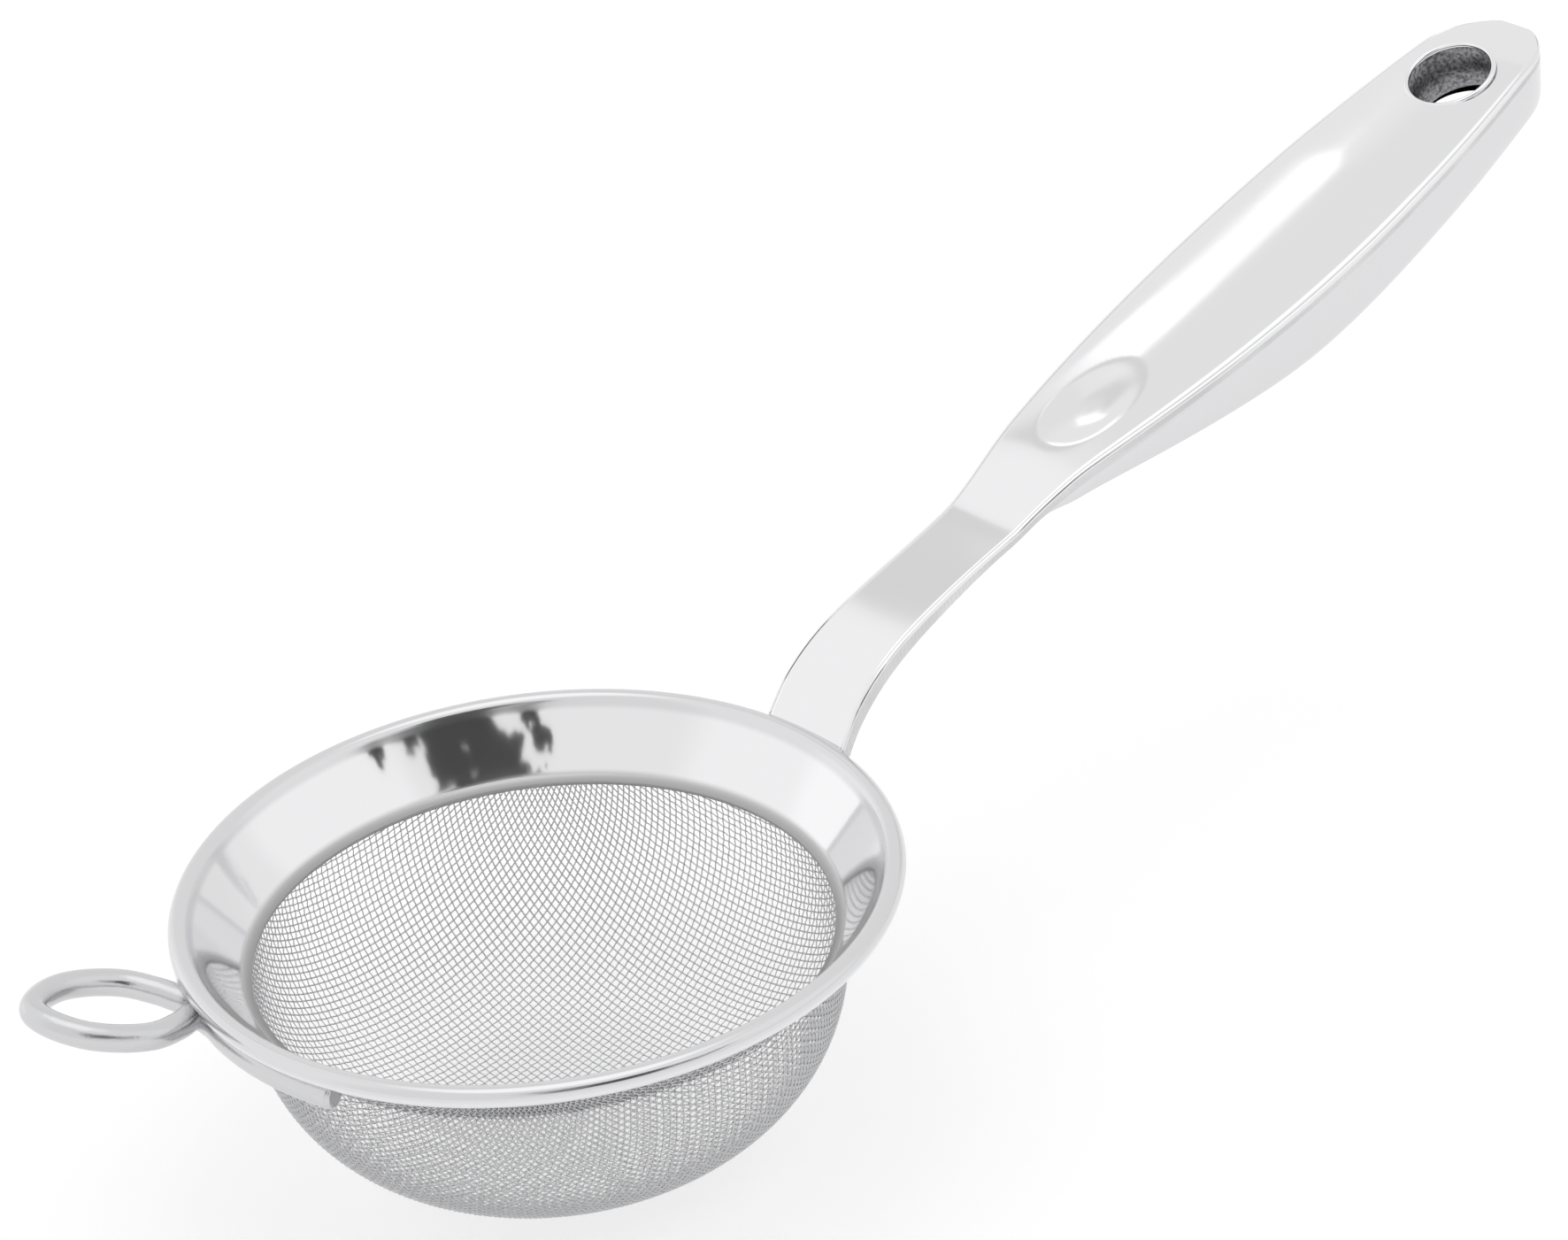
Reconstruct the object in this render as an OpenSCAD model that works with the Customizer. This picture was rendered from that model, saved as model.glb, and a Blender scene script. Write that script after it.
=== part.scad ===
// Hand-held tea strainer: a woven wire bowl in a rolled steel rim, a bent-wire ear that
// rests on the far side of a cup, and a hollow steel handle on a bent neck.
// The bowl's axis is Z with the mouth up, the origin is the centre of the rim, and the
// handle runs towards +X.

/* [Rim] */
// Outer diameter over the rolled bead
rim_d = 80; // [70:1:95]
// Diameter of the rolled bead
bead_d = 2.4; // [2.2:0.1:2.8]
// Thickness of the stamped rim sheet
rim_sheet = 0.45; // [0.4:0.05:0.5]
// Diameter of the mouth inside the hemmed lip
mouth_d = 63.6; // [58:0.2:64]
// How far the lip lies below the rim's centre plane
lip_drop = 6.3; // [5:0.1:8]
// Thickness of the hem along the lip
hem_d = 0.85; // [0.8:0.05:1]

/* [Mesh bowl] */
// Thickness of the woven cloth, two wires where they cross
cloth_t = 0.4; // [0.36:0.02:0.5]
// Depth of the bowl below the lip
bowl_drop = 24.8; // [20:0.2:32]
// Roundness of the bowl: 2 is an ellipse, larger is fuller
bowl_full = 2.4; // [2:0.1:3]

/* [Ear] */
// Diameter of the ear's wire
ear_wire_d = 3; // [2.5:0.1:3.2]
// Direction of the ear, counted from the handle
ear_angle = 159; // [150:0.5:180]
// How far the ear is bent up from the rim's plane
ear_lift = 17; // [0:0.5:30]
// How far the ear's loop reaches from the rim
ear_reach = 18.9; // [14:0.1:24]
// Half width of the loop, wire centre to the ear's axis
ear_half_w = 6; // [5:0.1:8]
// Angle that each foot spans along the rim
foot_span = 36; // [20:1:40]

/* [Handle] */
// Distance from the rim's centre to the handle's tip
handle_reach = 160.8; // [145:0.1:185]
// Half width of the neck strap
neck_half_w = 5.3; // [4.5:0.1:6.5]
// Half width of the grip where it is widest
grip_half_w = 11; // [9:0.1:13]
// Where the grip is widest, from the rim's centre
grip_x = 119; // [110:1:130]
// Thickness of the handle's top sheet over the grip
sheet_t = 1.1; // [0.9:0.1:1.6]
// Thickness of the neck strap at the rim
strap_t = 2.5; // [1.6:0.1:3]
// Wall of the belly shell
belly_wall = 0.9; // [0.7:0.1:1.2]
// How far the middle of the grip's top stands above its edges
crown = 0.9; // [0:0.1:1.5]
// Depth of the thumb dimple in the grip's top
dimple_deep = 0.5; // [0:0.1:1]

/* [Hang hole] */
// Bore of the hanging hole
hole_d = 10; // [8:0.1:11]
// Distance from the hole's centre to the tip
hole_from_tip = 12.2; // [10:0.1:16]
// Wall of the tube that lines the hole
tube_wall = 0.6; // [0.5:0.1:1]
// Lean of the tube away from the bowl's axis
hole_lean = 19; // [10:1:30]

/* [Hidden] */
$fn = 96;

bead_r = bead_d / 2;
bead_at = rim_d / 2 - bead_r;
lip_r = mouth_d / 2 + hem_d;
ear_r = ear_wire_d / 2;
neck_start = rim_d / 2 - 0.25;
tip_r = 8.6;
tip_at = handle_reach - tip_r;
edge_round = 0.45;
taper_end = 66;
belly_start = 72;
dimple_x = 87;
dimple_half = [8, 5.2];
tip_flat = 0.4;
stations = 60;

// Smooth corner at 0: runs along 0 before it and along u after it
function hinge(u, soft) = (u + sqrt(u * u + soft * soft)) / 2;
function signed_pow(v, e) = sign(v) * pow(abs(v), e);
function smooth_max(a, b, soft) = b + hinge(a - b, soft);

// ---- Rim cone: a line tangent to the bead that runs down to the lip ----
function cone_tilt() =
    let (run = bead_at - lip_r, rise = lip_drop)
    atan2(rise, run) + asin(bead_r / norm([run, rise]));
// A point on the cone: along is the way down from the bead, deep is below the upper face
function cone_point(along, deep) =
    let (t = cone_tilt())
    [
        bead_at - (bead_r - deep) * sin(t) - along * cos(t),
        (bead_r - deep) * cos(t) - along * sin(t)
    ];
cone_len = sqrt(pow(bead_at - lip_r, 2) + pow(lip_drop, 2) - pow(bead_r, 2));

module band(from, to, top, bottom) {
    polygon([cone_point(from, top), cone_point(to, top),
        cone_point(to, bottom), cone_point(from, bottom)]);
}

// Stamped ring: its outer edge is rolled round the cloth's edge into the bead, and its
// inner edge is hemmed into the rounded lip of the mouth.
module rim_ring() color("lightgray") {
    rotate_extrude() {
        difference() {
            translate([bead_at, 0]) circle(bead_r);
            translate([bead_at, 0]) circle(bead_r - rim_sheet);
            band(-0.2, 2 * bead_r, rim_sheet, rim_sheet + cloth_t);
        }
        band(0, cone_len, 0, rim_sheet);
        hull() {
            translate([mouth_d / 2 + hem_d / 2, -lip_drop - hem_d / 2]) circle(d = hem_d);
            band(cone_len - hem_d / 2, cone_len, 0, rim_sheet);
        }
    }
}

// ---- Mesh bowl ----
cloth_mid = rim_sheet + cloth_t / 2;
bowl_r = mouth_d / 2 + hem_d + cloth_t / 2;
bowl_from = let (t = cone_tilt())
    (cone_point(0, cloth_mid)[0] - bowl_r) / cos(t);
bowl_top = cone_point(bowl_from, cloth_mid)[1];
bowl_path = concat(
    [cone_point(0.1, cloth_mid)],
    [for (t = [0 : 5 : 90])
        [bowl_r * signed_pow(cos(t), 2 / bowl_full),
            bowl_top - bowl_drop * signed_pow(sin(t), 2 / bowl_full)]]);

function unit(v) = v / norm(v);
function side_of(path, i) =
    let (
        last = len(path) - 1,
        a = i > 0 ? unit(path[i] - path[i - 1]) : unit(path[1] - path[0]),
        b = i < last ? unit(path[i + 1] - path[i]) : a,
        m = unit(a + b)
    )
    [-m[1], m[0]] / max(0.5, m * a);

// The cloth as one closed sheet, from inside the bead, down the cone and round the bowl
module mesh_bowl() color("silver") {
    last = len(bowl_path) - 1;
    rotate_extrude()
        polygon(concat(
            [for (i = [0 : last]) i == last
                ? [0, bowl_path[i][1] - cloth_t / 2]
                : bowl_path[i] + side_of(bowl_path, i) * cloth_t / 2],
            [for (i = [last : -1 : 0]) i == last
                ? [0, bowl_path[i][1] + cloth_t / 2]
                : bowl_path[i] - side_of(bowl_path, i) * cloth_t / 2]));
}

// ---- Ear ----
// The feet nestle in the corner between the bead and the cloth on the cone
foot_deep = rim_sheet + cloth_t + ear_r;
foot_at = cone_point(sqrt(pow(bead_r + ear_r, 2) - pow(foot_deep - bead_r, 2)), foot_deep);
// Half of the loop: part of the reach, part of the half width
loop_shape = [[1, 0], [0.93, 0.47], [0.77, 0.86], [0.57, 1], [0.38, 0.93], [0.22, 0.63],
    [0.08, 0.28]];
loop_inset = 0.3;
foot_steps = 8;
foot_bend = 0.16;

function mirror_y(points) = [for (p = points) [p[0], -p[1], p[2]]];
function backwards(list) = [for (i = [len(list) - 1 : -1 : 0]) list[i]];
function loop_point(s, v) =
    [foot_at[0] - loop_inset + s * cos(ear_lift), v, foot_at[1] + s * sin(ear_lift)];
function foot_point(a) = [foot_at[0] * cos(a), foot_at[0] * sin(a), foot_at[1]];

ear_half = concat(
    [for (p = loop_shape) loop_point(p[0] * ear_reach, p[1] * ear_half_w)],
    [for (i = [1 : foot_steps])
        foot_point(foot_span * (foot_bend + (1 - foot_bend) * (i - 1) / (foot_steps - 1)))]);
ear_points = concat(
    backwards(mirror_y(ear_half)),
    [for (i = [1 : len(ear_half) - 1]) ear_half[i]]);

// Smooth curve through points, with a number of steps between each two
function curve_through(p, steps) = concat(
    [for (i = [0 : len(p) - 2], k = [0 : steps - 1])
        let (
            t = k / steps,
            before = p[max(0, i - 1)],
            after = p[min(len(p) - 1, i + 2)],
            out = (p[i + 1] - before) / 2,
            in = (after - p[i]) / 2
        )
        (2 * t ^ 3 - 3 * t ^ 2 + 1) * p[i] + (t ^ 3 - 2 * t ^ 2 + t) * out
            + (3 * t ^ 2 - 2 * t ^ 3) * p[i + 1] + (t ^ 3 - t ^ 2) * in],
    [p[len(p) - 1]]);

// Round wire swept along a path that nowhere runs along Z
module wire(path, r, sides = 16) {
    last = len(path) - 1;
    rings = [for (i = [0 : last])
        let (
            t = unit(path[min(i + 1, last)] - path[max(i - 1, 0)]),
            side = unit(cross(t, [0, 0, 1])),
            up = cross(side, t)
        )
        for (k = [0 : sides - 1])
            path[i] + r * (cos(360 * k / sides) * side + sin(360 * k / sides) * up)];
    polyhedron(rings, concat(
        [[for (k = [0 : sides - 1]) k]],
        [for (i = [0 : last - 1], k = [0 : sides - 1])
            let (n = (k + 1) % sides)
            [i * sides + k, (i + 1) * sides + k, (i + 1) * sides + n, i * sides + n]],
        [[for (k = [sides - 1 : -1 : 0]) last * sides + k]]));
}

// One piece of wire: a loop whose legs meet at the rim, and two feet under the bead
module ear_loop() color("silver") rotate([0, 0, ear_angle])
    wire(curve_through(ear_points, 3), ear_r);

// ---- Handle: height of its edges, half width, sheet and belly along x ----
function edge_z(x) = 0.236 + 1.593 * (x - 39) - 0.41 * hinge(x - 42.1, 0.6)
    - 0.95 * hinge(x - 45, 6.1) + 0.212 * hinge(x - 68.9, 1) - 0.219 * hinge(x - 78.5, 3)
    + 0.129 * hinge(x - 125, 30) - 0.028 * hinge(x - 132, 2) - 0.186 * hinge(x - 153.6, 1.5);
function cap_share(x) =
    x < tip_at ? 1 : pow(max(0, 1 - pow((x - tip_at) / tip_r, 2.8)), 1 / 2.4);
function side_w(x) = smooth_max(
    neck_half_w - 0.3 + 0.001 * pow(max(0, 75 - x), 2),
    grip_half_w - 0.00268 * pow(x - grip_x, 2), 1.6);
function half_w(x) = side_w(x) * cap_share(x);
function sheet_at(x) = sheet_t + (strap_t - sheet_t) / (taper_end - neck_start)
    * hinge(taper_end - x, 3);
function belly_depth(x) =
    0.593 * hinge(x - 73, 1.2) - 0.422 * hinge(x - 77, 1.5) - 0.22 * hinge(x - 112.4, 7.6);
function crown_at(x) = crown * max(0, side_w(x) - neck_half_w) / (grip_half_w - neck_half_w);
function dimple(x, y) =
    let (r = norm([(x - dimple_x) / dimple_half[0], y / dimple_half[1]]))
    r < 1 ? dimple_deep * pow(1 - pow(r, 3), 2) : 0;
// Upper face at a share of the half width from the middle
function top_z(x, share) =
    edge_z(x) + edge_round / 2 + crown_at(x) * (1 - share * share) - dimple(x, share * half_w(x));

// Stations from start to the tip, closer together towards the round tip
function station(i, start, end) =
    let (t = i / stations, straight = tip_at - start)
    t < 0.7 ? start + straight * t / 0.7
        : tip_at + (end - tip_at) * sin(90 * (t - 0.7) / 0.3);

// A closed shell from m outlines of n points. Each runs along the left side, round the tip
// and back along the right side. The first is the middle of the upper face, and the last the
// middle of the lower one.
module outline_shell(points, n, m) {
    polyhedron(points, concat(
        [for (i = [0 : (n - 1) / 2 - 1])
            let (a = i, b = i + 1, c = n - 2 - i, d = n - 1 - i)
            each a + 1 == c ? [[a, c, d]] : [[a, b, c], [a, c, d]]],
        [for (j = [0 : m - 2], i = [0 : n - 1])
            let (k = (i + 1) % n, a = j * n + i, b = j * n + k)
            each [[a, a + n, b + n], [a, b + n, b]]],
        [for (i = [0 : (n - 1) / 2 - 1])
            let (o = (m - 1) * n, a = i + o, b = i + 1 + o, c = n - 2 - i + o, d = n - 1 - i + o)
            each a + 1 == c ? [[a, d, c]] : [[a, c, b], [a, d, c]]]));
}

// A whole outline from its left side, which ends at the tip
function outline(left) =
    concat(left, mirror_y(backwards([for (i = [0 : len(left) - 2]) left[i]])));

// Neck strap and the grip's upper sheet: one bent and crowned stamping with rounded edges
module handle_top() color("silver") {
    // Across half the sheet, from the middle of its upper face to the middle of its lower
    // face: share of the width, distance in from the edge, height above the upper face, and
    // how many sheet thicknesses lower
    under = edge_round / 2;
    shares = [0.04, 0.17, 0.32, 0.48, 0.66, 0.86];
    across = concat(
        [for (f = shares) [f, 0, 0, 0]],
        [for (a = [0 : 30 : 90]) [1, edge_round * (1 - sin(a)), edge_round * (cos(a) - 1), 0]],
        [for (a = [0 : 45 : 90]) [1, under * (1 - cos(a)), under * (1 - sin(a)), 1]],
        [for (f = backwards(shares)) [f, 0, 0, 1]]);
    outlines = [for (c = across) each outline([for (i = [0 : stations])
        let (
            x = station(i, neck_start, handle_reach),
            w = half_w(x),
            at_tip = i == stations ? c[1] + (1 - c[0]) * tip_flat : 0
        )
        [x - at_tip, (w - min(c[1], w / 2)) * c[0], top_z(x, c[0]) + c[2] - c[3] * sheet_at(x)]])];
    difference() {
        outline_shell(outlines, 2 * stations + 1, len(across));
        hang_axis() cylinder(h = 30, r = hole_d / 2 + tube_wall, center = true);
    }
}

// The belly's outlines, each a list of points, a wall's thickness in from the outer face
belly_angles = [0, 14, 30, 46, 62, 76, 87];
belly_full = 8;
function belly_side(wall) = [for (a = belly_angles) outline([for (i = [0 : stations])
    let (
        x = station(i, belly_start + wall, handle_reach - wall),
        past_tip = max(0, x - tip_at) / tip_r,
        w = max(0, half_w(x + wall * past_tip) - wall),
        deep = wall > 0 ? hinge(belly_depth(x) - wall, 0.3) : belly_depth(x)
    )
    [x, i == stations ? 0 : w * pow(cos(a), 2 / belly_full),
        top_z(x, 1) - sheet_at(x) - deep * pow(sin(a), 2 / belly_full)]])];

// The grip's belly: a thin pressed shell, welded along the seam under the upper sheet
module handle_belly() color("gainsboro") {
    inner = belly_side(belly_wall);
    outer = belly_side(0);
    difference() {
        outline_shell([for (o = concat(backwards(inner), outer)) each o],
            2 * stations + 1, 2 * len(belly_angles));
        hang_axis() cylinder(h = 30, r = hole_d / 2 + tube_wall, center = true);
    }
}

// ---- Hang hole ----
hole_x = handle_reach - hole_from_tip;
module hang_axis() {
    translate([hole_x, 0, top_z(hole_x, 0)]) rotate([0, -hole_lean, 0]) children();
}

// Tube that lines the hole, with its rim rolled over the upper face
module hang_tube() color("dimgray") hang_axis() {
    deep = (sheet_t + belly_depth(hole_x)) * cos(hole_lean);
    difference() {
        union() {
            translate([0, 0, -deep]) cylinder(h = deep, r = hole_d / 2 + tube_wall);
            rotate_extrude() translate([hole_d / 2 + tube_wall / 2, 0]) circle(d = tube_wall);
        }
        translate([0, 0, -deep - 1]) cylinder(h = deep + 2, r = hole_d / 2);
    }
}

rim_ring();
mesh_bowl();
ear_loop();
handle_top();
handle_belly();
hang_tube();
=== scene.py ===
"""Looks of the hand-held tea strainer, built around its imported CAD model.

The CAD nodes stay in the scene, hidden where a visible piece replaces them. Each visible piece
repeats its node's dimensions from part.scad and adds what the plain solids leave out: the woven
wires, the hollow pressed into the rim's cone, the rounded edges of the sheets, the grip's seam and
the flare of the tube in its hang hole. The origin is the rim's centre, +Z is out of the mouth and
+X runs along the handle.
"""

import math

import bpy
import numpy as np
from mathutils import Matrix, Vector


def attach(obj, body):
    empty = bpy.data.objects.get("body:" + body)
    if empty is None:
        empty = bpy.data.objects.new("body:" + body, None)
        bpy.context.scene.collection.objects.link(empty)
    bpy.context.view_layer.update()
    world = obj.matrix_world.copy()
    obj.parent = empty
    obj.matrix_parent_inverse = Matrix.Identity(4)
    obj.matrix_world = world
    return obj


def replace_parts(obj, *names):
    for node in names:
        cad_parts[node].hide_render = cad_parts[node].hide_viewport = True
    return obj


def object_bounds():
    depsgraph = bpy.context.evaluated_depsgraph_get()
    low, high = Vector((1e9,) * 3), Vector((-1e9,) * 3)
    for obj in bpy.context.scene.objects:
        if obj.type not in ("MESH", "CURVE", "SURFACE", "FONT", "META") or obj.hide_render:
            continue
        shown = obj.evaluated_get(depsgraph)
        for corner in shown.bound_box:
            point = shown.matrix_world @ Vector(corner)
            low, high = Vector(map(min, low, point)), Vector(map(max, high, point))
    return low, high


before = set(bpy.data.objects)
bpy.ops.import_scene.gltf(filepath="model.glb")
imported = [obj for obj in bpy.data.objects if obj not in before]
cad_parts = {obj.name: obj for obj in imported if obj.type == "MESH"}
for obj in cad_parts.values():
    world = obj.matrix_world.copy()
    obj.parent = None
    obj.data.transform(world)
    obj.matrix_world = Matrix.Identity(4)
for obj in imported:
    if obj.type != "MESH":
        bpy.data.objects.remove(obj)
cad_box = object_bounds()

MM = 0.001

# ---- Dimensions that part.scad states, in millimetres ----
RIM_R = 40.0
BEAD_R = 1.2
RIM_SHEET = 0.45
MOUTH_R = 31.8
LIP_DROP = 6.3
HEM_D = 0.85
CLOTH_T = 0.4
BOWL_DROP = 24.8
BOWL_FULL = 2.4
EAR_R = 1.5
EAR_ANGLE = 159.0
EAR_LIFT = 17.0
EAR_REACH = 18.9
EAR_HALF_W = 6.0
EAR_INSET = 0.3
FOOT_SPAN = 36.0
FOOT_BEND = 0.16
HANDLE_REACH = 160.8
NECK_HALF_W = 5.3
GRIP_HALF_W = 11.0
GRIP_X = 119.0
SHEET_T = 1.1
STRAP_T = 2.5
CROWN = 0.9
DIMPLE_DEEP = 0.5
DIMPLE_X = 87.0
DIMPLE_HALF = (8.0, 5.2)
HOLE_R = 5.0
HOLE_X = HANDLE_REACH - 12.2
HOLE_LEAN = math.radians(19.0)
TUBE_WALL = 0.6
EDGE_ROUND = 0.45
TAPER_END = 66.0
BELLY_START = 72.0
BELLY_FULL = 8.0
TIP_R = 8.6

# ---- Details that part.scad leaves out, in millimetres ----
FLANGE_BOW = 0.12  # the rim's cone is pressed this hollow
STRAP_OVERLAP = 0.7  # the strap's end runs this much deeper into the bead
FLARE = 1.0  # the hang tube's lower end opens by this much
FLARE_ROOM = 0.2  # the belly's hole is this much wider than the flare
RING_SEAT = 0.6  # share of the tube's wall that the upper sheet's hole leaves free
PITCH = 0.82  # from one wire of the cloth to the next
WIRE_R = 0.09
CRIMP = 0.95 * WIRE_R  # a wire swings this far to each side to pass over and under
CLOTH_TURN = math.radians(2.0)

# ---- Sizes that follow from these ----
BEAD_AT = RIM_R - BEAD_R
LIP_R = MOUTH_R + HEM_D
NECK_START = RIM_R - 0.25
TIP_AT = HANDLE_REACH - TIP_R


def hinge(u, soft):
    """Smooth corner at 0: runs along 0 before it and along u after it."""
    return (u + np.sqrt(u * u + soft * soft)) / 2


# ---- Meshes ----
def make_piece(name, points, faces, material):
    """A mesh piece from points in millimetres, riding on the one body. Only end caps are flat."""
    mesh = bpy.data.meshes.new(name)
    mesh.from_pydata((np.asarray(points, float) * MM).tolist(), [], faces)
    mesh.polygons.foreach_set("use_smooth", [len(face) == 4 for face in faces])
    mesh.materials.append(material)
    mesh.update()
    piece = bpy.data.objects.new(name, mesh)
    bpy.context.scene.collection.objects.link(piece)
    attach(piece, "root")
    return piece


def grid_faces(rows, columns, close_rows=False, close_columns=False, start=0):
    """Quads between the neighbours of a rows x columns grid of points."""
    i, j = np.meshgrid(
        np.arange(rows if close_rows else rows - 1),
        np.arange(columns if close_columns else columns - 1),
        indexing="ij",
    )
    i, j = i.ravel(), j.ravel()
    k, m = (i + 1) % rows, (j + 1) % columns
    quads = np.stack([i * columns + j, i * columns + m, k * columns + m, k * columns + j], 1)
    return (quads + start).tolist()


def lathe(profile, steps):
    """Points and faces of a closed (r, z) profile turned about Z."""
    turn = np.linspace(0, 2 * math.pi, steps, endpoint=False)
    r, z = np.asarray(profile, float).T
    points = np.stack(
        [np.outer(np.cos(turn), r), np.outer(np.sin(turn), r), np.tile(z, (steps, 1))], -1
    )
    return points.reshape(-1, 3), grid_faces(steps, len(r), True, True)


def arc(centre, radius, start, end, steps):
    """Points of an arc, angles in degrees."""
    a = np.radians(np.linspace(start, end, steps))
    return np.stack([centre[0] + radius * np.cos(a), centre[1] + radius * np.sin(a)], 1)


# ---- Rim ----
CONE_TILT = math.atan2(LIP_DROP, BEAD_AT - LIP_R) + math.asin(
    BEAD_R / math.hypot(BEAD_AT - LIP_R, LIP_DROP)
)
CONE_LEN = math.sqrt((BEAD_AT - LIP_R) ** 2 + LIP_DROP**2 - BEAD_R**2)


def cone_point(along, deep):
    """A point on the cone: along is the way down from the bead, deep is below its upper face."""
    s, c = math.sin(CONE_TILT), math.cos(CONE_TILT)
    return np.array([BEAD_AT - (BEAD_R - deep) * s - along * c, (BEAD_R - deep) * c - along * s])


def rim_profile():
    """Outline of the rolled and hemmed sheet, clockwise from where the cone meets the bead."""
    bead_from, bead_to = 90 + math.degrees(CONE_TILT), -128
    hem_from, hem_to = -40, -210
    hem_r = HEM_D / 2
    hem_at = (MOUTH_R + hem_r, -LIP_DROP - hem_r)
    bead = arc((BEAD_AT, 0), BEAD_R, bead_from, bead_to, 40)
    under = [cone_point(a, RIM_SHEET) for a in np.linspace(1.0, CONE_LEN - 0.6, 12)]
    hem = arc(hem_at, hem_r, hem_from, hem_to, 14)
    along = np.linspace(CONE_LEN - 0.15, 0.35, 30)
    upper = [cone_point(a, FLANGE_BOW * (1 - (2 * a / CONE_LEN - 1) ** 2)) for a in along]
    return np.vstack([bead, under, hem, upper])


def build_rim(material):
    points, faces = lathe(rim_profile(), 288)
    return make_piece("rim_sheet", points, faces, material)


# ---- Wire cloth ----
def cloth_profile():
    """Arc length, r and z of the cloth's middle surface, from the pole up to the bead."""
    bowl_steps, cone_steps, even_steps = 900, 60, 1600
    mid = RIM_SHEET + CLOTH_T / 2
    bowl_r = LIP_R + CLOTH_T / 2
    start = (cone_point(0, mid)[0] - bowl_r) / math.cos(CONE_TILT)
    top = cone_point(start, mid)[1]
    t = np.linspace(0, math.pi / 2, bowl_steps)
    r = bowl_r * np.sin(t) ** (2 / BOWL_FULL)
    z = top - BOWL_DROP * np.cos(t) ** (2 / BOWL_FULL)
    cone = np.array([cone_point(a, mid) for a in np.linspace(start - 0.1, 0.5, cone_steps)])
    path = np.vstack([np.stack([r, z], 1), cone])
    path[0, 0] = 0
    s = np.concatenate([[0], np.cumsum(np.hypot(*np.diff(path, axis=0).T))])
    even = np.linspace(0, s[-1], even_steps)
    return even, np.interp(even, s, path[:, 0]), np.interp(even, s, path[:, 1])


class ClothSurface:
    """The cloth's surface as a map: (u, v) lies at its distance from the pole, in its direction."""

    def __init__(self):
        self.s, self.r, self.z = cloth_profile()
        self.end = self.s[-1]
        self.dr, self.dz = self.smooth_slope(self.r), self.smooth_slope(self.z)

    def smooth_slope(self, values):
        """Slope of values along the profile, averaged over some steps to both sides."""
        near = 10
        slope = np.gradient(values, self.s[1] - self.s[0])
        window = np.ones(2 * near + 1) / (2 * near + 1)
        return np.convolve(np.pad(slope, near, "edge"), window, "valid")

    def point(self, uv):
        far = np.maximum(np.hypot(uv[:, 0], uv[:, 1]), 1e-9)
        inside = np.minimum(far, self.end)
        r = np.interp(inside, self.s, self.r) + (far - inside) * self.dr[-1]
        z = np.interp(inside, self.s, self.z) + (far - inside) * self.dz[-1]
        return np.stack([r * uv[:, 0] / far, r * uv[:, 1] / far, z], 1)

    def normal(self, uv):
        far = np.maximum(np.hypot(uv[:, 0], uv[:, 1]), 1e-9)
        dr, dz = np.interp(far, self.s, self.dr), np.interp(far, self.s, self.dz)
        length = np.hypot(dr, dz)
        return np.stack([dz * uv[:, 0] / far, dz * uv[:, 1] / far, -dr], 1) / length[:, None]


def next_node(surface, a, b, guess):
    """The map point that lies one pitch from both a and b, found by Newton's method."""
    rounds, tiny, flattest, longest_move = 7, 1e-4, 1e-6, 0.5 * PITCH
    uv = guess.copy()
    pa, pb = surface.point(a), surface.point(b)
    for _ in range(rounds):
        p = surface.point(uv)
        du = (surface.point(uv + [tiny, 0]) - p) / tiny
        dv = (surface.point(uv + [0, tiny]) - p) / tiny
        fa = ((p - pa) ** 2).sum(1) - PITCH**2
        fb = ((p - pb) ** 2).sum(1) - PITCH**2
        j11, j12 = 2 * ((p - pa) * du).sum(1), 2 * ((p - pa) * dv).sum(1)
        j21, j22 = 2 * ((p - pb) * du).sum(1), 2 * ((p - pb) * dv).sum(1)
        det = j11 * j22 - j12 * j21
        det = np.where(np.abs(det) < flattest, flattest, det)
        step = np.stack([(fa * j22 - fb * j12) / det, (fb * j11 - fa * j21) / det], 1)
        size = np.maximum(np.hypot(step[:, 0], step[:, 1]), 1e-12)
        uv = uv - step * np.minimum(1, longest_move / size)[:, None]
    return uv


def drape_cloth(surface):
    """Map points of the crossings: a square cloth pressed into the bowl keeps its pitch."""
    spare = 14
    half = int(surface.end / PITCH) + spare
    size = 2 * half + 1
    net = np.full((size, size, 2), np.nan)
    along = np.arange(-half, half + 1) * PITCH
    for k, d in enumerate(along):
        net[k, half] = d * math.cos(CLOTH_TURN), d * math.sin(CLOTH_TURN)
        net[half, k] = -d * math.sin(CLOTH_TURN), d * math.cos(CLOTH_TURN)
    limit = surface.end + 3 * PITCH
    for si in (1, -1):
        for sj in (1, -1):
            for total in range(2, 2 * half + 1):
                i = np.arange(max(1, total - half), min(half, total - 1) + 1)
                j = total - i
                a = net[half + si * (i - 1), half + sj * j]
                b = net[half + si * i, half + sj * (j - 1)]
                c = net[half + si * (i - 1), half + sj * (j - 1)]
                known = np.isfinite(a[:, 0]) & np.isfinite(b[:, 0]) & np.isfinite(c[:, 0])
                known &= np.hypot(c[:, 0], c[:, 1]) < limit
                if not known.any():
                    break
                i, j = i[known], j[known]
                guess = a[known] + b[known] - c[known]
                net[half + si * i, half + sj * j] = next_node(surface, a[known], b[known], guess)
    return net


def tube_between(points, across, up, radius, sides):
    """Points of a tube round a path, with its cross-section directions given at each point."""
    a = np.linspace(0, 2 * math.pi, sides, endpoint=False)
    return (
        points[:, None]
        + radius * np.cos(a)[None, :, None] * across[:, None]
        + radius * np.sin(a)[None, :, None] * up[:, None]
    )


def unit(v):
    return v / np.maximum(np.linalg.norm(v, axis=-1, keepdims=True), 1e-12)


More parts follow.
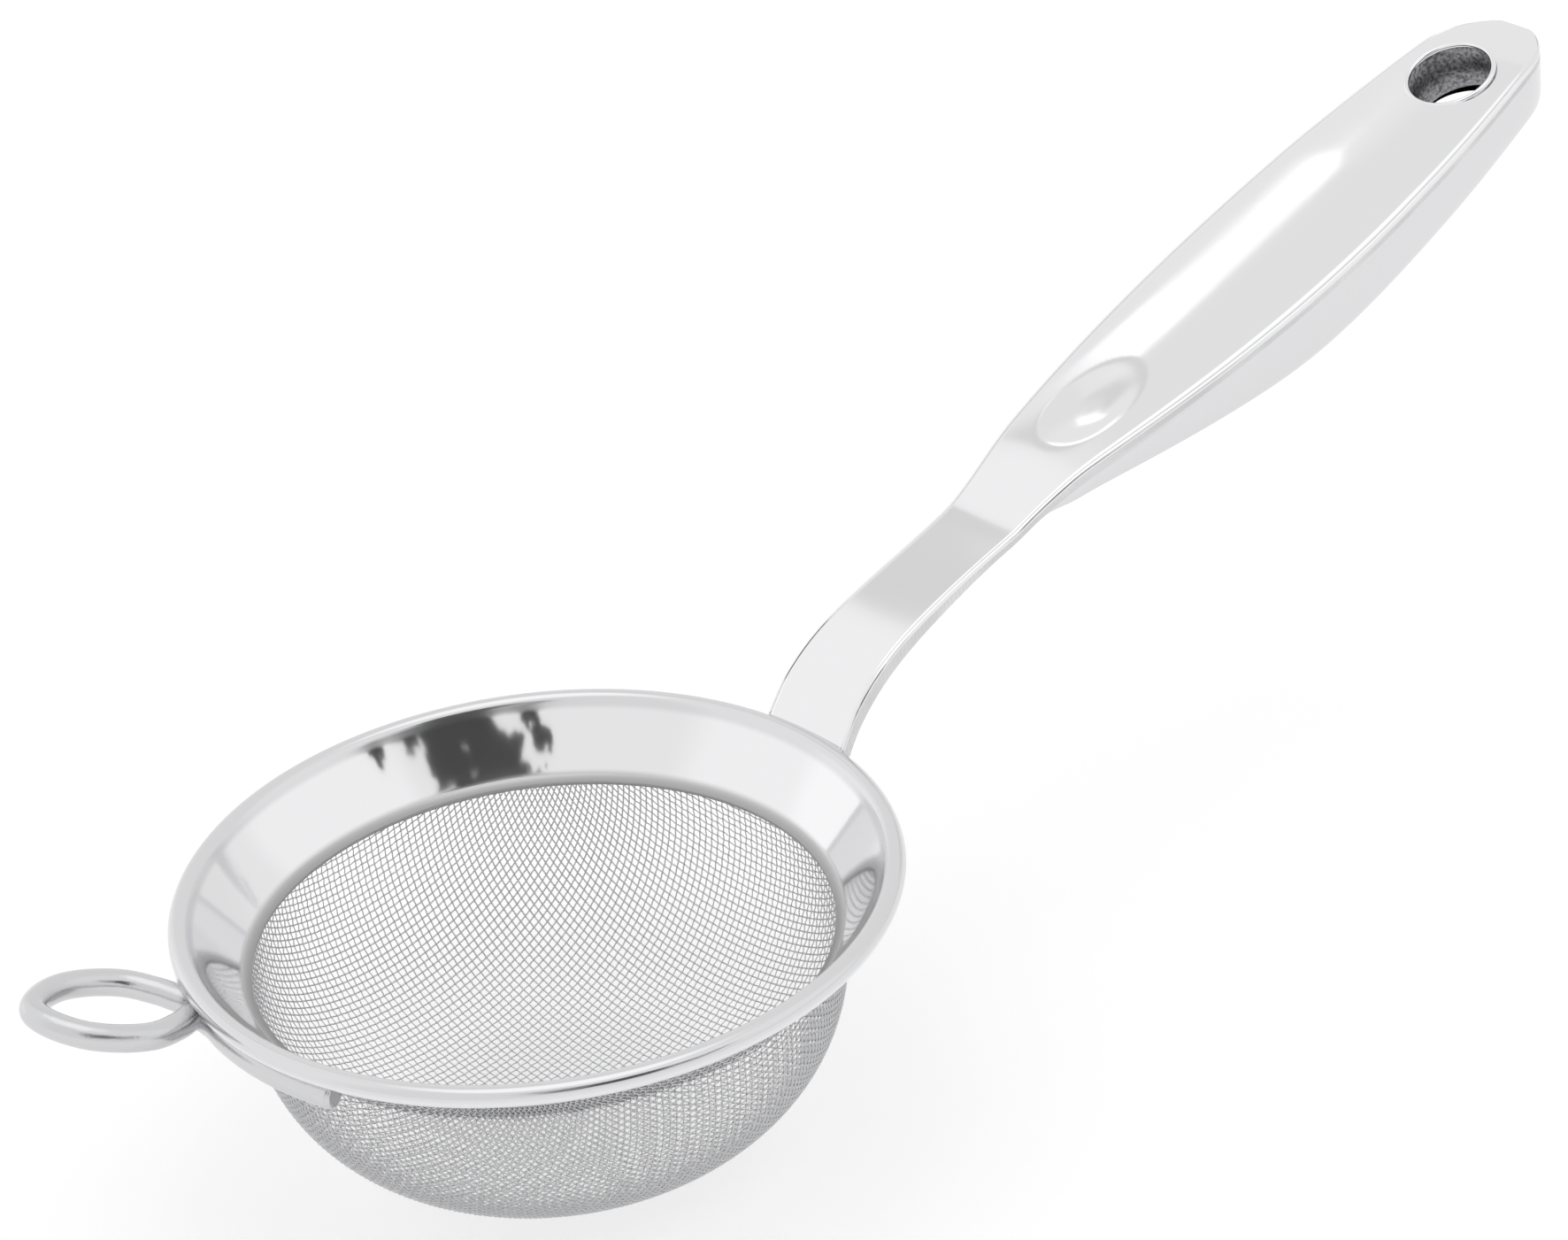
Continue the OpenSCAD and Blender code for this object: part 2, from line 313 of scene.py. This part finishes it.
def weave_family(surface, net, first, lines):
    """Tubes of some wires of one family. first tells which of the two, so they interlace."""
    sides, shortest = 4, 3
    points, faces, count = [], [], 0
    half = net.shape[0] // 2
    for line in lines:
        uv = net[line] if first else net[:, line]
        inside = np.isfinite(uv[:, 0]) & (np.hypot(uv[:, 0], uv[:, 1]) < surface.end)
        where = np.flatnonzero(inside)
        if len(where) < shortest:
            continue
        # A wire that leaves the disc and comes back is two wires
        for run in np.split(where, np.flatnonzero(np.diff(where) > 1) + 1):
            if len(run) < shortest:
                continue
            nodes = uv[run]
            swing = np.where((run + line + half + (0 if first else 1)) % 2 == 0, 1.0, -1.0)
            middle = (nodes[:-1] + nodes[1:]) / 2
            path_uv = np.empty((2 * len(run) - 1, 2))
            path_uv[0::2], path_uv[1::2] = nodes, middle
            lift = np.zeros(len(path_uv))
            lift[0::2] = swing * CRIMP
            normal = surface.normal(path_uv)
            path = surface.point(path_uv) + normal * lift[:, None]
            tangent = unit(np.gradient(path, axis=0))
            across = unit(np.cross(normal, tangent))
            ring = tube_between(path, across, np.cross(tangent, across), WIRE_R, sides)
            points.append(ring.reshape(-1, 3))
            faces += grid_faces(len(path), sides, False, True, count)
            count += ring.shape[0] * sides
    return np.vstack(points), faces


def build_cloth(material):
    """Both families of wires, each in two pieces."""
    surface = ClothSurface()
    net = drape_cloth(surface)
    middle, size = net.shape[0] // 2, net.shape[0]
    pieces = []
    for family, first in (("cloth_warp_wires", True), ("cloth_weft_wires", False)):
        for part, lines in (("a", range(middle)), ("b", range(middle, size))):
            points, faces = weave_family(surface, net, first, lines)
            pieces.append(make_piece(f"{family}_{part}", points, faces, material))
    return pieces


# ---- Ear ----
def curve_through(points, steps):
    """Smooth curve through points, with a number of steps between each two."""
    p = np.asarray(points, float)
    before = np.vstack([p[:1], p[:-2]])
    after = np.vstack([p[2:], p[-1:]])
    out, into = (p[1:] - before) / 2, (after - p[:-1]) / 2
    t = np.linspace(0, 1, steps, endpoint=False)[None, :, None]
    curve = (
        (2 * t**3 - 3 * t**2 + 1) * p[:-1, None]
        + (t**3 - 2 * t**2 + t) * out[:, None]
        + (3 * t**2 - 2 * t**3) * p[1:, None]
        + (t**3 - t**2) * into[:, None]
    )
    return np.vstack([curve.reshape(-1, 3), p[-1:]])


def ear_path():
    """Middle line of the ear's wire: foot, loop and foot, under the bead at both ends."""
    deep = RIM_SHEET + CLOTH_T + EAR_R
    foot = cone_point(math.sqrt((BEAD_R + EAR_R) ** 2 - (deep - BEAD_R) ** 2), deep)
    lift = math.radians(EAR_LIFT)
    # Shares of the reach and of the half width, from the loop's far end to its neck
    shape = [
        (1, 0),
        (0.93, 0.47),
        (0.77, 0.86),
        (0.57, 1),
        (0.38, 0.93),
        (0.22, 0.63),
        (0.08, 0.28),
    ]
    half = [
        (
            foot[0] - EAR_INSET + s * EAR_REACH * math.cos(lift),
            v * EAR_HALF_W,
            foot[1] + s * EAR_REACH * math.sin(lift),
        )
        for s, v in shape
    ]
    for share in np.linspace(FOOT_BEND, 1, 8):
        a = math.radians(FOOT_SPAN * share)
        half.append((foot[0] * math.cos(a), foot[0] * math.sin(a), foot[1]))
    half = np.array(half)
    whole = np.vstack([half[:0:-1] * [1, -1, 1], half])
    turn = math.radians(EAR_ANGLE)
    c, s = math.cos(turn), math.sin(turn)
    return curve_through(whole, 10) @ np.array([[c, s, 0], [-s, c, 0], [0, 0, 1]])


def round_wire(path, radius, sides, bevel):
    """Points and faces of a round wire with bevelled ends."""
    tangent = unit(np.gradient(path, axis=0))
    across = unit(np.cross(tangent, [0, 0, 1]))
    up = np.cross(across, tangent)
    ends = [(bevel, 0.62), (0.55 * bevel, 0.88), (0, 1.0)]
    rings = []
    for away, share in ends:
        start = path[:1] - away * tangent[0]
        rings.append(tube_between(start, across[:1], up[:1], radius * share, sides))
    rings.append(tube_between(path[1:-1], across[1:-1], up[1:-1], radius, sides))
    for away, share in ends[::-1]:
        end = path[-1:] + away * tangent[-1]
        rings.append(tube_between(end, across[-1:], up[-1:], radius * share, sides))
    grid = np.vstack(rings)
    faces = grid_faces(len(grid), sides, False, True)
    faces.append(list(range(sides)))
    faces.append(list(range((len(grid) - 1) * sides, len(grid) * sides))[::-1])
    return grid.reshape(-1, 3), faces


def build_ear(material):
    points, faces = round_wire(ear_path(), EAR_R, 32, 0.35)
    return make_piece("ear_wire", points, faces, material)


# ---- Handle ----
def edge_z(x):
    """Height of the upper sheet's edge, with a bend at each hinge."""
    return (
        0.236
        + 1.593 * (x - 39)
        - 0.41 * hinge(x - 42.1, 0.6)
        - 0.95 * hinge(x - 45, 6.1)
        + 0.212 * hinge(x - 68.9, 1)
        - 0.219 * hinge(x - 78.5, 3)
        + 0.129 * hinge(x - 125, 30)
        - 0.028 * hinge(x - 132, 2)
        - 0.186 * hinge(x - 153.6, 1.5)
    )


def side_w(x):
    """Half width of the strap and grip, before the tip rounds it off."""
    neck = NECK_HALF_W - 0.3 + 0.001 * np.maximum(0, 75 - x) ** 2
    grip = GRIP_HALF_W - 0.00268 * (x - GRIP_X) ** 2
    return grip + hinge(neck - grip, 1.6)


def half_w(x):
    """Half width of the strap and grip, round at the tip."""
    past = np.clip((x - TIP_AT) / TIP_R, 0, 1)
    return side_w(x) * (1 - past**2.5) ** (1 / 2.2)


def sheet_at(x):
    """Thickness of the upper sheet, which grows towards the neck."""
    return SHEET_T + (STRAP_T - SHEET_T) / (TAPER_END - NECK_START) * hinge(TAPER_END - x, 3)


def belly_depth(x):
    """Depth of the belly below the upper sheet."""
    return 0.593 * hinge(x - 73, 1.2) - 0.422 * hinge(x - 77, 1.5) - 0.22 * hinge(x - 112.4, 7.6)


def top_z(x, y):
    """Upper face of the strap and grip, crowned and with the thumb dimple."""
    w = side_w(x)
    past = np.clip((x - TIP_AT) / TIP_R, 0, 1)
    rise = CROWN * np.maximum(0, w - NECK_HALF_W) / (GRIP_HALF_W - NECK_HALF_W)
    rise = rise * (1 - past**4)
    far = ((x - DIMPLE_X) / DIMPLE_HALF[0]) ** 2 + (y / DIMPLE_HALF[1]) ** 2
    dip = np.clip(1 - far**1.5, 0, 1)
    across = np.clip(y / np.maximum(half_w(x), 0.01), -1, 1)
    return edge_z(x) + EDGE_ROUND / 2 + rise * (1 - across**2) - DIMPLE_DEEP * dip**2


def stations(start, end, count):
    """Places along the handle, closer together towards the round tip."""
    straight = np.linspace(start, TIP_AT, int(count * 0.72), endpoint=False)
    turn = np.radians(np.linspace(0, 90, count - len(straight)))
    return np.concatenate([straight, TIP_AT + (end - TIP_AT) * np.sin(turn)])


def sheet_section():
    """Points round the sheet's section: share of the half width, inset, drop, if underneath."""
    under = EDGE_ROUND / 2
    shares = np.linspace(-1, 1, 49)
    upper_round = np.radians(np.linspace(0, 90, 7))
    lower_round = np.radians(np.linspace(0, 90, 4))
    upper_left = [
        (-1, EDGE_ROUND * (1 - math.sin(a)), EDGE_ROUND * (math.cos(a) - 1), False)
        for a in upper_round
    ]
    upper = [(s, EDGE_ROUND, 0, False) for s in shares[1:-1]]
    upper_right = [(-s, i, d, t) for s, i, d, t in upper_left[::-1]]
    lower_right = [
        (1, under * (1 - math.cos(a)), under * (1 - math.sin(a)), True) for a in lower_round
    ]
    lower = [(s, under, 0, True) for s in shares[-2:0:-1]]
    lower_left = [(-s, i, d, t) for s, i, d, t in lower_right[::-1]]
    return upper_left + upper + upper_right + lower_right + lower + lower_left


def sheet_piece(material):
    """The strap and the grip's upper sheet with rounded edges."""
    # It stops a hair before the place where the tip's width is nothing
    x = stations(NECK_START - STRAP_OVERLAP, HANDLE_REACH - 0.00002, 260)
    w = half_w(x)
    # The edge is rounded square to the outline, which turns across the handle at the tip
    sideways = 1 / np.hypot(1, np.gradient(w, x))
    near_tip = np.clip((x - HANDLE_REACH) / EDGE_ROUND + 1, 0, 1)
    tip_drop = EDGE_ROUND * (np.sqrt(1 - near_tip**2) - 1)
    rows = []
    for share, inset, drop, underneath in sheet_section():
        inset = np.minimum(inset * sideways, w * 0.5)
        y = share * (w - inset)
        down = -sheet_at(x) if underneath else np.minimum(drop, tip_drop)
        rows.append(np.stack([x, y, top_z(x, y) + down], 1))
    grid = np.stack(rows, 1)
    count = grid.shape[1]
    faces = grid_faces(len(x), count, False, True)
    faces.append(list(range(count)))
    faces.append(list(range((len(x) - 1) * count, len(x) * count))[::-1])
    return make_piece("handle_sheet", grid.reshape(-1, 3), faces, material)


def shell_piece(material):
    """The grip's belly. Its weld seam under the sheet is an open groove only near the neck."""
    fade_length = 14
    x = stations(BELLY_START + 0.05, HANDLE_REACH - 0.02, 220)
    # Share of the groove that is left, from 1 at the neck
    fade = np.exp((BELLY_START - x) / fade_length)
    w = np.maximum(half_w(x) - 0.03 - 0.1 * fade, 0.02)
    groove = np.minimum(0.04 + 0.5 * fade, w / 2)
    gap = 0.03 + 0.14 * fade
    deep = belly_depth(x)
    seam = top_z(x, w) - sheet_at(x)
    angles = np.radians(np.concatenate([[0, 3, 8, 14], np.linspace(20, 90, 20)]))
    rows = [np.stack([x, groove - w, seam + 0.15], 1)]
    for a in angles:
        y = -w * math.cos(a) ** (2 / BELLY_FULL)
        z = seam - gap - (deep - gap) * math.sin(a) ** (2 / BELLY_FULL)
        rows.append(np.stack([x, y, z], 1))
    for row in rows[-2::-1]:
        rows.append(row * [1, -1, 1])
    grid = np.stack(rows, 1)
    count = grid.shape[1]
    faces = grid_faces(len(x), count)
    faces.append(list(range(count))[::-1])
    faces.append(list(range((len(x) - 1) * count, len(x) * count)))
    return make_piece("handle_shell", grid.reshape(-1, 3), faces, material)


def hang_frame():
    """Place and direction of the hang hole: its centre in the upper face, and its axis."""
    at = Vector((HOLE_X, 0, float(top_z(np.array(HOLE_X), np.array(0.0)))))
    return at, Matrix.Rotation(-HOLE_LEAN, 4, "Y")


def tube_depth():
    """Length of the hang tube, from the grip's upper face to the belly's outside."""
    return (SHEET_T + float(belly_depth(np.array(HOLE_X)))) * math.cos(HOLE_LEAN)


def cut_hole(piece, radius):
    """Cut the hang hole through a piece of the grip."""
    cutter_length = 30
    at, lean = hang_frame()
    bpy.ops.mesh.primitive_cylinder_add(vertices=96, radius=radius * MM, depth=cutter_length * MM)
    cutter = bpy.context.object
    cutter.matrix_world = Matrix.Translation(at * MM) @ lean
    modifier = piece.modifiers.new("hole", "BOOLEAN")
    modifier.operation = "DIFFERENCE"
    modifier.solver = "EXACT"
    modifier.object = cutter
    depsgraph = bpy.context.evaluated_depsgraph_get()
    mesh = bpy.data.meshes.new_from_object(piece.evaluated_get(depsgraph))
    piece.modifiers.clear()
    piece.data = mesh
    bpy.data.objects.remove(cutter)


def build_sleeve(tube_material, ring_material):
    """The tube that lines the hole, flared below, and its upper end rolled into a ring."""
    deep = tube_depth()
    outer = HOLE_R + TUBE_WALL
    ring = arc((HOLE_R + TUBE_WALL / 2, 0.02), TUBE_WALL / 2 + 0.02, 200, -20, 18)
    ring = np.vstack([ring, [[outer - 0.1, -0.3], [HOLE_R + 0.06, -0.3]]])
    skirt = [outer + FLARE - 0.3, -deep - 0.05]
    tube = [[HOLE_R + 0.02, -0.1], [outer, -0.1], [outer, -deep + FLARE], skirt]
    up = np.linspace(0, 1, 10)
    inner_r = HOLE_R + 0.02 + FLARE * (1 - up) ** 2
    inner = np.stack([inner_r, -deep + 0.05 + 2 * FLARE * up], 1)
    at, lean = hang_frame()
    pieces = []
    for name, profile, material in (
        ("hang_sleeve", np.vstack([tube, inner]), tube_material),
        ("hang_ring", ring, ring_material),
    ):
        points, faces = lathe(profile, 120)
        points = np.array([(Matrix.Translation(at) @ lean) @ Vector(p) for p in points])
        pieces.append(make_piece(name, points, faces, material))
    return pieces


# ---- Materials ----
class Nodes:
    """Short calls for building a material's or world's node tree."""

    def __init__(self, tree):
        self.tree = tree
        tree.nodes.clear()

    def add(self, kind, inputs=None, **settings):
        node = self.tree.nodes.new(kind)
        for key, value in settings.items():
            setattr(node, key, value)
        for key, value in (inputs or {}).items():
            if isinstance(value, bpy.types.NodeSocket):
                self.tree.links.new(value, node.inputs[key])
            else:
                node.inputs[key].default_value = value
        return node


    def blotches(self, place, scale, detail):
        """Noise of soft blotches."""
        inputs = {"Vector": place, "Scale": scale, "Detail": detail}
        return self.add("ShaderNodeTexNoise", inputs).outputs["Fac"]

    def ramp(self, value, low, high, smooth=False, to_low=0.0, to_high=1.0):
        """A value mapped from the range low to high."""
        inputs = {
            "Value": value,
            "From Min": low,
            "From Max": high,
            "To Min": to_low,
            "To Max": to_high,
        }
        kind = "SMOOTHSTEP" if smooth else "LINEAR"
        return self.add("ShaderNodeMapRange", inputs, interpolation_type=kind).outputs[0]

    def mix_colour(self, share, first, second):
        inputs = {0: share, 6: first, 7: second}
        return self.add("ShaderNodeMix", inputs, data_type="RGBA").outputs[2]

    def mix_number(self, share, first, second):
        inputs = {0: share, 2: first, 3: second}
        return self.add("ShaderNodeMix", inputs, data_type="FLOAT").outputs[0]


def steel(name, colour, rough, swing, grain, grain_scale, stretch=(1, 1, 1), stain=None, bands=()):
    """Stainless steel: roughness varies by swing in soft clouds, and marks of grain run over it.

    stretch draws the marks out along an axis. stain is a second colour that shows in blotches.
    bands are places where the colour and roughness change with height: (from, to, colour,
    roughness), where the change lies between two heights in millimetres. At the bead the band is a
    finish that the polishing wheel only brushes. At the hem it is rougher steel that the wheel
    doesn't reach, and its darker colour is painted shade and painted reflection.
    """
    material = bpy.data.materials.new(name)
    material.use_nodes = True
    n = Nodes(material.node_tree)
    place = n.add("ShaderNodeTexCoord").outputs["Object"]
    stretched = n.add("ShaderNodeMapping", {"Vector": place, "Scale": stretch}).outputs[0]
    marks = n.add(
        "ShaderNodeTexNoise",
        {"Vector": stretched, "Scale": grain_scale, "Detail": 4.0, "Roughness": 0.6},
    ).outputs["Fac"]
    bump = n.add("ShaderNodeBump", {"Height": marks, "Strength": grain, "Distance": 0.0001})
    clouds = n.blotches(place, 90.0, 3.0)
    roughness = n.ramp(clouds, 0.3, 0.7, to_low=rough - swing, to_high=rough + swing)
    shade = (*colour, 1)
    if stain:
        share = n.ramp(n.blotches(place, 2200.0, 6.0), 0.38, 0.62)
        shade = n.mix_colour(share, shade, (*stain, 1))
    if bands:
        height = n.add("ShaderNodeSeparateXYZ", {0: place}).outputs["Z"]
    # Each band mixes in its colour and roughness by height. The hem's darker colour is painted
    # shade.
    for start, end, band_colour, band_rough in bands:
        share = n.ramp(height, start * MM, end * MM, smooth=True)
        shade = n.mix_colour(share, shade, (*band_colour, 1))
        roughness = n.mix_number(share, roughness, band_rough)
    shader = n.add(
        "ShaderNodeBsdfPrincipled",
        {
            "Base Color": shade,
            "Metallic": 1.0,
            "Roughness": roughness,
            "Normal": bump.outputs[0],
        },
    )
    n.add("ShaderNodeOutputMaterial", {"Surface": shader.outputs[0]})
    return material


def floor_material():
    material = bpy.data.materials.new("white_floor")
    material.use_nodes = True
    n = Nodes(material.node_tree)
    shader = n.add(
        "ShaderNodeBsdfPrincipled",
        {
            "Base Color": (0.6, 0.6, 0.6, 1),
            "Roughness": 0.9,
            "Emission Color": (1, 1, 1, 1),
            "Emission Strength": 0.44,
        },
    )
    n.add("ShaderNodeOutputMaterial", {"Surface": shader.outputs[0]})
    return material


# ---- Surroundings ----
def build_world():
    """A white studio seen in the steel: lamps, a bright ceiling and one dark opening."""
    world = bpy.data.worlds.new("studio")
    bpy.context.scene.world = world
    world.use_nodes = True
    n = Nodes(world.node_tree)

    def maths(operation, *values):
        node = n.add("ShaderNodeMath", dict(enumerate(values)), operation=operation)
        return node.outputs[0]

    look = n.add("ShaderNodeTexCoord").outputs["Generated"]
    axes = n.add("ShaderNodeSeparateXYZ", {0: look}).outputs
    azimuth = maths("DEGREES", maths("ARCTAN2", axes["Y"], axes["X"]))
    elevation = maths("DEGREES", maths("ARCSINE", axes["Z"]))

    def above(value, at, soft):
        """0 below a place and 1 above it, smooth over soft degrees to both sides."""
        return n.ramp(value, at - soft, at + soft, smooth=True)

    def below(value, at, soft):
        return above(maths("MULTIPLY", value, -1), -at, soft)

    def panel(east, west, low, high, soft, across=azimuth):
        """1 inside a panel of the surroundings, between two azimuths and two elevations."""
        sides = maths("MULTIPLY", above(across, east, soft), below(across, west, soft))
        ends = maths("MULTIPLY", above(elevation, low, soft), below(elevation, high, soft))
        return maths("MULTIPLY", sides, ends)

    def slanted(corner, slope):
        """Elevation of an edge that is level beyond a corner and slants on its other side."""
        beside = maths("MINIMUM", maths("SUBTRACT", azimuth, corner), 0)
        return maths("MULTIPLY_ADD", beside, slope, elevation)

    def blend(share, base, value):
        return maths("MULTIPLY_ADD", share, maths("SUBTRACT", value, base), base)

    # Azimuth with the ragged shift, in degrees, that tears the dark opening's edges
    tear = 130.0
    ragged = maths("MULTIPLY_ADD", n.blotches(look, 4.5, 5.0), tear, -tear / 2)
    torn = maths("ADD", azimuth, ragged)

    # The lamp beyond the grip, which narrows to a point on one side
    lamp = maths(
        "MULTIPLY",
        above(slanted(66.2, 2.0), 35.5, 0.4),
        below(slanted(64.7, -3.6), 45.2, 0.4),
    )
    lamp = maths("MULTIPLY", lamp, panel(60, 67.3, 20, 60, 0.3))

    # Light and grey walls beyond the strainer, round the lamp
    light = blend(panel(80, 168, -8, 62, 8), 0.97, 1.07)
    light = blend(panel(92, 126, -4, 20, 5), light, 1.16)
    light = blend(panel(66, 78, 41, 50, 3), light, 0.8)
    light = blend(panel(45, 68, 46, 63, 2), light, 0.92)
    # The ceiling
    light = blend(above(elevation, 68, 6), light, 1.35)
    # A light wall on the near side, and a dim one low beyond the grip's tip
    light = blend(panel(-83, -24, 16, 58, 5), light, 1.06)
    light = blend(panel(-12, 40, -25, 13, 7), light, 0.9)
    light = blend(lamp, light, 1.4)
    # The dark opening on the near side, and a bright strip above it
    light = blend(panel(-131, -88, 22, 48, 1, torn), light, 0.075)
    light = blend(panel(-104, -80, 45, 56, 1, torn), light, 1.3)
    background = n.add("ShaderNodeBackground", {"Color": (1, 1, 1, 1), "Strength": light})
    n.add("ShaderNodeOutputWorld", {"Surface": background.outputs[0]})


def build_floor():
    """A plain floor, some metres wide, that touches the bowl."""
    low = cad_box[0][2]
    bpy.ops.mesh.primitive_plane_add(size=6, location=(0, 0, low))
    floor = bpy.context.object
    floor.name = "floor"
    floor.data.materials.append(floor_material())


def build_camera():
    """The camera looks down on the strainer from beyond its ear, a little rolled."""
    azimuth, elevation, roll = map(math.radians, (-39.43, 30.35, -6.36))
    distance = 0.668
    forward = Vector(
        (
            -math.sin(azimuth) * math.cos(elevation),
            math.cos(azimuth) * math.cos(elevation),
            -math.sin(elevation),
        )
    )
    right = Vector((math.cos(azimuth), math.sin(azimuth), 0))
    down = forward.cross(right)
    turned_right = right * math.cos(roll) - down * math.sin(roll)
    turned_down = right * math.sin(roll) + down * math.cos(roll)
    aim = Vector((31.8, -8.1, 21.7)) * MM
    camera = bpy.data.objects.new("camera", bpy.data.cameras.new("camera"))
    bpy.context.scene.collection.objects.link(camera)
    axes = Matrix((turned_right, -turned_down, -forward)).transposed()
    camera.matrix_world = Matrix.Translation(aim - forward * distance) @ axes.to_4x4()
    camera.data.sensor_width = 36
    camera.data.lens = 142.07
    camera.data.clip_start = 0.01
    bpy.context.scene.camera = camera


bpy.context.scene.view_settings.view_transform = "Standard"
build_camera()
build_world()
build_floor()

BRIGHT = (0.8, 0.8, 0.81)
LENGTHWAYS = (0.2, 1, 1)
# The hem's band is rougher steel. Its darker colour is painted shade and a painted reflection of
# the wire cloth at the mouth.
HEM_SHADE_BAND = (-5.6, -6.5, (0.38, 0.38, 0.38), 0.35)
BEAD_BAND = (-0.4, 0.3, (0.68, 0.68, 0.69), 0.17)

polished = steel("polished_steel", BRIGHT, 0.07, 0.015, 0.01, 900.0)
rim_steel = steel("rim_steel", BRIGHT, 0.07, 0.015, 0.01, 900.0, bands=(HEM_SHADE_BAND, BEAD_BAND))
satin = steel("satin_steel", BRIGHT, 0.09, 0.02, 0.015, 1500.0, LENGTHWAYS)
pressed = steel("pressed_steel", (0.7, 0.7, 0.71), 0.2, 0.03, 0.03, 1500.0, LENGTHWAYS)
wire_steel = steel("cloth_steel", (0.61, 0.61, 0.62), 0.33, 0.05, 0.05, 3000.0)
ear_steel = steel("drawn_wire_steel", (0.62, 0.62, 0.63), 0.24, 0.06, 0.35, 1100.0)
# The hang tube's wall is painted near black for the shade inside the hole. Its lighter blotches are
# the wall's speckled grain.
tube_shade_steel = steel("tube_steel_painted_shade", (0.11, 0.11, 0.115), 0.45, 0.1, 0.6, 1400.0, stain=(0.33, 0.33, 0.34))

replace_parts(build_rim(rim_steel), "rim_ring")
for family in build_cloth(wire_steel):
    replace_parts(family, "mesh_bowl")
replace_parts(build_ear(ear_steel), "ear_loop")
sheet, shell = sheet_piece(satin), shell_piece(pressed)
cut_hole(sheet, HOLE_R + RING_SEAT * TUBE_WALL)
cut_hole(shell, HOLE_R + FLARE + FLARE_ROOM)
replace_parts(sheet, "handle_top")
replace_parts(shell, "handle_belly")
for part in build_sleeve(tube_shade_steel, polished):
    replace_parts(part, "hang_tube")
